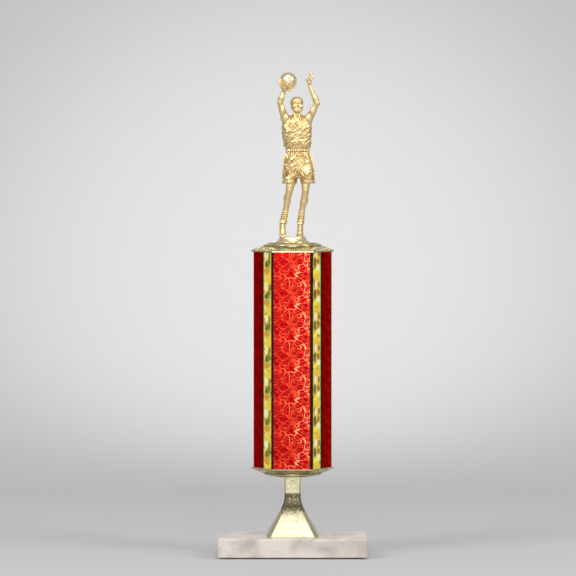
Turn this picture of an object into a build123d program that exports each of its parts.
"""Column trophy with a basketball shooter, built from its separate pieces.

Units are millimetres and +Z is up. The front of the trophy faces -Y. The origin is the
centre of the footprint, on the surface that the felt pads stand on.
"""

import math
import os

from build123d import *

# ------------------------------------------------------------------ driving dimensions

# Stone slab and its pads
slab_width = 127.0
slab_depth = 69.85
slab_thickness = 15.875
slab_edge_bevel = 0.8
pad_thickness = 1.0
pad_radius = 6.0
pad_inset = 11.0

# Threaded rod and the hardware that pulls the stack together
rod_diameter = 6.35
rod_tail = 1.2
thread_pitch = 1.27
thread_depth = 0.6
thread_length = 25.4
washer_radius = 9.3
washer_thickness = 1.65
lock_washer_radius = 6.2
lock_washer_thickness = 1.57
lock_washer_split = 0.9
nut_across_flats = 11.11
nut_height = 5.56
jam_nut_height = 3.97
nut_bevel = 0.5

# Square flared riser
riser_height = 51.5
riser_foot_half = 22.2
riser_neck_half = 6.8
riser_top_half = 7.2
riser_foot_rim = 1.2
riser_flare_height = 34.0
riser_wall = 1.8
riser_top_plate = 3.0
riser_corner_share = 1.29
riser_panel_depth = 0.45
riser_panel_rim = 1.5
riser_panel_foot_rim = 3.0
riser_panel_top_gap = 1.6

# Hexagonal column
column_side = 33.35
column_visible_height = 184.0
column_wall = 1.2
column_corner_radius = 1.5
least_inside_radius = 0.2
foil_thickness = 0.2
gold_stripe_width = 12.5
black_line_width = 3.25
stripe_shift = -0.85

# Hexagonal caps, one above the column and its twin turned over below it
cap_height = 7.6
cap_lip_height = 1.0
cap_lip_wall = 1.2
cap_top_apothem = 17.2
cap_skirt_wall = 4.6
cap_hollow_top = 4.4
cap_hollow_top_apothem = 18.6
cap_collar_radius = 24.6
cap_collar_groove = 1.0
cap_bead_bottom = 5.0
cap_bead_top = 6.4
flutes_per_side = 18
flute_depth = 0.6

# Figure and its plinth
plinth_height = 5.2
plinth_foot_radius = 14.3
plinth_top_radius = 11.0
plinth_rim = 0.8
ball_radius = 7.5

# Fits
rod_hole_play = 0.4
thread_play = 0.06
recess_play = 1.2
recess_cover = 0.8
column_seat_play = 0.15
nut_pocket_play = 0.08

# ------------------------------------------------------------------ worked-out places

rod_radius = rod_diameter / 2
rod_hole_radius = rod_radius + rod_hole_play
thread_hole_radius = rod_radius + thread_play
recess_radius = washer_radius + recess_play
recess_depth = (
    washer_thickness
    + lock_washer_thickness
    + nut_height
    + rod_tail
    + recess_cover
)

slab_bottom = pad_thickness
slab_top = slab_bottom + slab_thickness
recess_ceiling = slab_bottom + recess_depth
riser_top = slab_top + riser_height
lower_rim = riser_top + cap_height
upper_rim = lower_rim + column_visible_height
cap_top = upper_rim + cap_height
column_bottom = lower_rim - cap_lip_height
column_top = upper_rim + cap_lip_height
rod_bottom = slab_bottom + recess_cover
rod_top = cap_top + jam_nut_height - thread_pitch / 2

column_apothem = column_side * math.cos(math.radians(30))
seat_apothem = column_apothem + foil_thickness + column_seat_play
rim_apothem = seat_apothem + cap_lip_wall

stripe_pitch = 6 * column_side / 4
red_panel_width = stripe_pitch - gold_stripe_width - 2 * black_line_width


def hexagon_radius(apothem):
    """Corner radius of the hexagon with this distance from its centre to its flats."""
    return apothem / math.cos(math.radians(30))


def save(part, name):
    """Labels one finished piece and writes its STEP file."""
    part.label = name
    export_step(part, f"parts/{name}.step")


# ------------------------------------------------------------------ slab and pads

pad_spacing_x = slab_width - 2 * pad_inset
pad_spacing_y = slab_depth - 2 * pad_inset

with BuildPart() as felt_pads:
    with BuildSketch():
        with GridLocations(pad_spacing_x, pad_spacing_y, 2, 2):
            Circle(pad_radius)
    extrude(amount=pad_thickness)

with BuildPart() as marble_base:
    with BuildSketch(Plane.XY.offset(slab_bottom)):
        Rectangle(slab_width, slab_depth)
    extrude(amount=slab_thickness)
    chamfer(marble_base.edges(), slab_edge_bevel)
    with Locations(Plane(origin=(0, 0, slab_bottom), z_dir=(0, 0, -1))):
        CounterBoreHole(rod_hole_radius, recess_radius, recess_depth)

# ------------------------------------------------------------------ rod, washers and nuts


def rod_outline():
    """Half outline of the rod: ring threads at both ends and a plain shank between."""
    ridges = int(thread_length / thread_pitch)
    root = rod_radius - thread_depth
    points = [(0, rod_bottom), (root, rod_bottom)]
    for index in range(ridges):
        valley = rod_bottom + index * thread_pitch
        points += [(rod_radius, valley + thread_pitch / 2), (root, valley + thread_pitch)]
    upper_start = rod_top - ridges * thread_pitch
    points += [(root, upper_start)]
    for index in range(ridges):
        valley = upper_start + index * thread_pitch
        points += [(rod_radius, valley + thread_pitch / 2), (root, valley + thread_pitch)]
    points += [(0, rod_top)]
    return points


with BuildPart() as tie_rod:
    with BuildSketch(Plane.XZ):
        with BuildLine():
            Polyline(*rod_outline(), close=True)
        make_face()
    revolve(axis=Axis.Z)

washer_bottom = recess_ceiling - washer_thickness
lock_washer_bottom = washer_bottom - lock_washer_thickness
base_nut_bottom = lock_washer_bottom - nut_height

with BuildPart() as base_washer:
    with BuildSketch(Plane.XY.offset(washer_bottom)):
        Circle(washer_radius)
        Circle(rod_hole_radius, mode=Mode.SUBTRACT)
    extrude(amount=washer_thickness)

with BuildPart() as base_lock_washer:
    with BuildSketch(Plane.XY.offset(lock_washer_bottom)):
        Circle(lock_washer_radius)
        Circle(rod_hole_radius, mode=Mode.SUBTRACT)
        with Locations((lock_washer_radius, 0)):
            Rectangle(2 * lock_washer_radius, lock_washer_split, mode=Mode.SUBTRACT)
    extrude(amount=lock_washer_thickness)


def hexagon_nut(bottom, height):
    """Six-sided nut on the rod's axis with its corners turned back at both ends."""
    corner_radius = hexagon_radius(nut_across_flats / 2)
    with BuildPart() as nut:
        with BuildSketch(Plane.XY.offset(bottom)):
            Circle(corner_radius)
        extrude(amount=height)
        chamfer(nut.edges().filter_by(GeomType.CIRCLE), nut_bevel)
        with BuildSketch(Plane.XY.offset(bottom)):
            RegularPolygon(corner_radius, 6)
            Circle(thread_hole_radius, mode=Mode.SUBTRACT)
        extrude(amount=height, mode=Mode.INTERSECT)
    return nut.part


base_nut = hexagon_nut(base_nut_bottom, nut_height)
figure_nut = hexagon_nut(cap_top, jam_nut_height)

# ------------------------------------------------------------------ riser


def riser_outline(inset, foot_z, top_z, share=1.0):
    """Face of the riser seen square on, both sides, inset evenly from the outside.

    share widens the outline for the pair of cuts that bevel the four corners.
    """
    foot = riser_foot_half * share - inset
    neck = riser_neck_half * share - inset
    top = riser_top_half * share - inset
    rim_z = slab_top + riser_foot_rim
    flare_z = slab_top + riser_flare_height
    bend_low = ((foot + neck) / 2, rim_z + 0.38 * riser_flare_height)
    bend_high = (neck, rim_z + 0.68 * riser_flare_height)
    with BuildLine() as outline:
        Line((0, foot_z), (foot, foot_z))
        Line((foot, foot_z), (foot, rim_z))
        Bezier((foot, rim_z), bend_low, bend_high, (neck, flare_z))
        Line((neck, flare_z), (top, top_z))
        Line((top, top_z), (0, top_z))
        mirror(about=Plane.YZ)
    return outline


def riser_block(inset, foot_z, top_z, share, turn):
    """The outline pushed right through, turned about the upright axis."""
    reach = 2 * riser_foot_half
    with BuildPart() as block:
        with BuildSketch(Plane.XZ.rotated((0, 0, turn))):
            add(riser_outline(inset, foot_z, top_z, share))
            make_face()
        extrude(amount=reach, both=True)
    return block.part


def riser_body(inset, foot_z, top_z):
    """Eight-sided flared body: four wide faces and four narrow bevelled corners."""
    with BuildPart() as body:
        add(riser_block(inset, foot_z, top_z, 1.0, 0))
        add(riser_block(inset, foot_z, top_z, 1.0, 90), mode=Mode.INTERSECT)
        add(riser_block(inset, foot_z, top_z, riser_corner_share, 45), mode=Mode.INTERSECT)
        add(riser_block(inset, foot_z, top_z, riser_corner_share, 135), mode=Mode.INTERSECT)
    return body.part


def riser_panel_cut(turn):
    """What is taken off two opposite faces to sink their panels."""
    panel_bottom = slab_top + riser_panel_foot_rim
    panel_top = riser_top - riser_panel_top_gap
    rim = riser_panel_rim + (1.0 - riser_corner_share / math.sqrt(2)) * riser_neck_half
    with BuildPart() as cut:
        add(riser_block(rim, slab_top, riser_top, 0.93, turn))
        add(riser_block(riser_panel_depth, slab_top, riser_top, 1.0, turn + 90), mode=Mode.SUBTRACT)
        with Locations((0, 0, (panel_bottom + panel_top) / 2)):
            Box(
                4 * riser_foot_half,
                4 * riser_foot_half,
                panel_top - panel_bottom,
                mode=Mode.INTERSECT,
            )
    return cut.part


with BuildPart() as riser:
    add(riser_body(0, slab_top, riser_top))
    add(riser_panel_cut(0), mode=Mode.SUBTRACT)
    add(riser_panel_cut(90), mode=Mode.SUBTRACT)
    add(riser_body(riser_wall, slab_top, riser_top - riser_top_plate), mode=Mode.SUBTRACT)
    with Locations((0, 0, riser_top)):
        Hole(rod_hole_radius, depth=2 * riser_top_plate)

# ------------------------------------------------------------------ caps


def fluted_hexagon(apothem):
    """Corner-to-corner zigzag round a hexagon, one valley for each flute."""
    outer = hexagon_radius(apothem)
    valley_share = 1 - flute_depth / rim_apothem
    points = []
    for side in range(6):
        start = Vector(outer, 0).rotate(Axis.Z, 60 * side)
        end = Vector(outer, 0).rotate(Axis.Z, 60 * side + 60)
        for flute in range(flutes_per_side):
            points.append(start + (end - start) * (flute / flutes_per_side))
            middle = start + (end - start) * ((flute + 0.5) / flutes_per_side)
            points.append(middle * valley_share)
    return points


def collar_outline():
    """Half outline of the round collar that stands out of the skirt: groove, then bead."""
    groove = cap_collar_radius - cap_collar_groove
    bead_middle = (cap_bead_bottom + cap_bead_top) / 2
    with BuildLine() as outline:
        Polyline((0, cap_hollow_top), (groove, cap_hollow_top), (groove, cap_bead_bottom))
        ThreePointArc(
            (groove, cap_bead_bottom), (cap_collar_radius, bead_middle), (groove, cap_bead_top)
        )
        Polyline((groove, cap_bead_top), (0, cap_bead_top), (0, cap_hollow_top))
    return outline


def hexagon_cap():
    """Cap standing on its rim at z = 0, with the seat for the column's end inside."""
    with BuildPart() as cap:
        with BuildSketch():
            RegularPolygon(hexagon_radius(rim_apothem), 6)
        extrude(amount=cap_lip_height)
        with BuildSketch(Plane.XY.offset(cap_lip_height)):
            with BuildLine():
                Polyline(*fluted_hexagon(rim_apothem), close=True)
            make_face()
        with BuildSketch(Plane.XY.offset(cap_height)):
            with BuildLine():
                Polyline(*fluted_hexagon(cap_top_apothem), close=True)
            make_face()
        loft(ruled=True)
        with BuildSketch(Plane.XZ):
            add(collar_outline())
            make_face()
        revolve(axis=Axis.Z)
        with BuildSketch():
            RegularPolygon(hexagon_radius(seat_apothem), 6)
        extrude(amount=cap_lip_height, mode=Mode.SUBTRACT)
        with BuildSketch(Plane.XY.offset(cap_lip_height)):
            RegularPolygon(hexagon_radius(rim_apothem - cap_skirt_wall), 6)
        with BuildSketch(Plane.XY.offset(cap_hollow_top)):
            RegularPolygon(hexagon_radius(cap_hollow_top_apothem), 6)
        loft(mode=Mode.SUBTRACT)
        with Locations((0, 0, cap_height)):
            Hole(rod_hole_radius)
    return cap.part


cap = hexagon_cap()
upper_cap = Pos(0, 0, upper_rim) * cap
lower_cap = Pos(0, 0, lower_rim) * Rot(180, 0, 0) * cap

# ------------------------------------------------------------------ column and its foils


def column_outline(growth):
    """Rounded hexagon of the column, grown evenly outwards, as a sketch."""
    with BuildSketch(Plane.XY.offset(column_bottom)) as outline:
        RegularPolygon(hexagon_radius(column_apothem + growth), 6)
        fillet(outline.vertices(), max(column_corner_radius + growth, least_inside_radius))
    return outline.sketch


def wrap_point(along, out):
    """Point beside the hexagon, from the middle of its front face round to the right.

    along is measured on the sides, and out is the distance outwards from them.
    """
    from_corner = along + column_side / 2
    side = math.floor(from_corner / column_side)
    on_side = from_corner - side * column_side - column_side / 2
    return Vector(on_side, -column_apothem - out).rotate(Axis.Z, 60 * side)


def wrap_corners(first, last, out):
    """Hexagon corners passed between two places, for a band this far out."""
    corners = []
    side = math.ceil(first / column_side - 0.5)
    while (side + 0.5) * column_side < last:
        if (side + 0.5) * column_side > first:
            reach = hexagon_radius(column_apothem + out)
            corners.append(Vector(reach, 0).rotate(Axis.Z, -60 + 60 * side))
        side += 1
    return corners


def foil_strip(middle, width):
    """Thin strip laid on the column, wrapped over any corner that it meets."""
    first = middle - width / 2
    last = middle + width / 2
    reach = 3 * foil_thickness
    inner = [wrap_point(first, -reach), *wrap_corners(first, last, -reach), wrap_point(last, -reach)]
    outer = [wrap_point(first, reach), *wrap_corners(first, last, reach), wrap_point(last, reach)]
    with BuildPart() as strip:
        with BuildSketch(Plane.XY.offset(column_bottom)):
            add(column_outline(foil_thickness))
            add(column_outline(0), mode=Mode.SUBTRACT)
            with BuildLine():
                Polyline(*inner, *reversed(outer), close=True)
            make_face(mode=Mode.INTERSECT)
        extrude(amount=column_top - column_bottom)
    return strip.part


with BuildPart() as column_tube:
    with BuildSketch(Plane.XY.offset(column_bottom)):
        add(column_outline(0))
        add(column_outline(-column_wall), mode=Mode.SUBTRACT)
    extrude(amount=column_top - column_bottom)

red_foils = {
    f"red_foil_{place}": foil_strip(stripe_shift + index * stripe_pitch, red_panel_width)
    for index, place in enumerate(["front", "right", "back", "left"])
}
gold_foils = {
    f"gold_foil_{place}": foil_strip(stripe_shift + (index + 0.5) * stripe_pitch, gold_stripe_width)
    for index, place in enumerate(["front_right", "back_right", "back_left", "front_left"])
}

# ------------------------------------------------------------------ figure

# Each limb is a chain of places, in millimetres from the middle of the plinth's foot, with
# the radius of the body there: (x, y, z, radius). "Left" is the left of the front view.
left_arm = [
    (-5.4, 0.6, 103.0, 4.1),
    (-9.2, -3.6, 116.6, 2.75),
    (-8.9, -4.6, 121.0, 2.55),
    (-7.9, -4.4, 128.6, 1.75),
    (-7.2, -4.6, 131.6, 1.9),
]
right_arm = [
    (12.6, 0.6, 103.0, 4.0),
    (16.4, -1.4, 109.6, 2.9),
    (20.6, -3.4, 117.2, 2.45),
    (17.9, -4.0, 124.6, 2.1),
    (14.4, -4.4, 133.2, 1.65),
    (14.9, -4.6, 138.6, 1.9),
    (14.5, -4.9, 145.6, 1.0),
]
left_leg = [
    (-1.4, 0.0, 60.0, 5.2),
    (-1.6, -1.0, 50.0, 3.75),
    (-2.9, -1.6, 43.6, 3.0),
    (-4.0, -0.4, 37.6, 3.15),
    (-5.8, 0.8, 30.4, 2.4),
    (-7.0, 1.4, 23.4, 2.5),
    (-8.5, 1.4, 15.6, 3.1),
    (-8.4, -4.2, 10.2, 2.2),
    (-7.9, -5.6, 5.0, 1.3),
]
right_leg = [
    (9.8, 0.0, 60.0, 5.2),
    (11.2, -1.0, 50.0, 3.65),
    (10.8, -1.6, 43.6, 3.0),
    (9.9, -0.2, 37.6, 3.7),
    (8.6, 1.0, 30.4, 2.45),
    (7.5, 1.4, 23.4, 2.5),
    (6.7, 1.6, 15.2, 3.3),
    (5.9, -5.0, 7.4, 3.1),
]
neck = [
    (3.8, 0.6, 103.0, 4.6),
    (3.9, -0.2, 112.0, 3.0),
]

# Ovals round the trunk: (x, y, z, half width, half depth)
jersey_ovals = [
    (4.6, 0.6, 76.0, 10.2, 6.9),
    (3.6, 0.4, 84.0, 11.1, 7.3),
    (3.6, 0.4, 95.0, 12.5, 7.9),
    (3.6, 0.8, 102.0, 11.6, 6.6),
    (3.8, 1.0, 106.4, 6.6, 4.8),
]
shorts_ovals = [
    (4.6, 0.6, 79.6, 10.0, 6.9),
    (4.5, 0.6, 74.6, 11.7, 7.7),
    (5.0, 0.4, 67.6, 12.8, 8.6),
    (5.2, 0.0, 56.6, 13.4, 8.6),
    (5.1, 0.0, 51.6, 13.1, 8.0),
]
ball_centre = (-3.8, -5.6, 137.6)
head_centre = (3.7, -1.2, 116.6)
head_tilt = 16.0
head_half_width = 5.5
head_half_height = 7.3

figure_frame = Pos(0, 0, cap_top)


def raised(point):
    """A place on the figure, moved up from its own frame to the top of the trophy."""
    return Vector(point[0], point[1], point[2] + cap_top)


def add_limb(chain):
    """Joins a chain of places with cones and rounds every joint."""
    for near, far in zip(chain, chain[1:]):
        run = raised(far) - raised(near)
        with Locations(Plane(origin=raised(near), z_dir=run)):
            Cone(near[3], far[3], run.length, align=(Align.CENTER, Align.CENTER, Align.MIN))
    for place in chain:
        with Locations(raised(place)):
            Sphere(place[3])


def oval_body(ovals):
    """Smooth trunk lofted through level ovals."""
    with BuildPart() as body:
        for x, y, z, half_width, half_depth in ovals:
            with BuildSketch(Plane.XY.offset(z + cap_top)):
                with Locations((x, y)):
                    Ellipse(half_width, half_depth)
        loft()
    return body.part


def head_body():
    """Plain egg for the head, tilted back."""
    frame = Plane(Location(raised(head_centre), (-head_tilt, 0, 0)))
    with BuildPart() as head:
        with BuildSketch(Plane.XZ):
            Ellipse(head_half_width, head_half_height)
            with Locations((-head_half_width, 0)):
                Rectangle(2 * head_half_width, 2 * head_half_height, mode=Mode.SUBTRACT)
        revolve(axis=Axis.Z)
    return frame.location * head.part


with BuildPart() as figure:
    with BuildSketch(Plane.XZ):
        with BuildLine():
            Polyline(
                (0, cap_top),
                (plinth_foot_radius, cap_top),
                (plinth_foot_radius, cap_top + plinth_rim),
                (plinth_top_radius, cap_top + plinth_height),
                (0, cap_top + plinth_height),
                close=True,
            )
        make_face()
    revolve(axis=Axis.Z)
    add(oval_body(jersey_ovals))
    add(oval_body(shorts_ovals))
    for limb in (left_leg, right_leg, left_arm, right_arm, neck):
        add_limb(limb)
    add(head_body())
    with Locations(raised(ball_centre)):
        Sphere(ball_radius)
    with BuildSketch(Plane.XY.offset(cap_top)):
        RegularPolygon(hexagon_radius(nut_across_flats / 2 + nut_pocket_play), 6)
    extrude(amount=jam_nut_height + nut_pocket_play, mode=Mode.SUBTRACT)

# ------------------------------------------------------------------ files

pieces = {
    "felt_pads": felt_pads.part,
    "marble_base": marble_base.part,
    "base_nut": base_nut,
    "base_lock_washer": base_lock_washer.part,
    "base_washer": base_washer.part,
    "tie_rod": tie_rod.part,
    "riser": riser.part,
    "lower_cap": lower_cap,
    "column_tube": column_tube.part,
    **red_foils,
    **gold_foils,
    "upper_cap": upper_cap,
    "figure_nut": figure_nut,
    "figure": figure.part,
}

os.makedirs("parts", exist_ok=True)
for name, part in pieces.items():
    save(part, name)
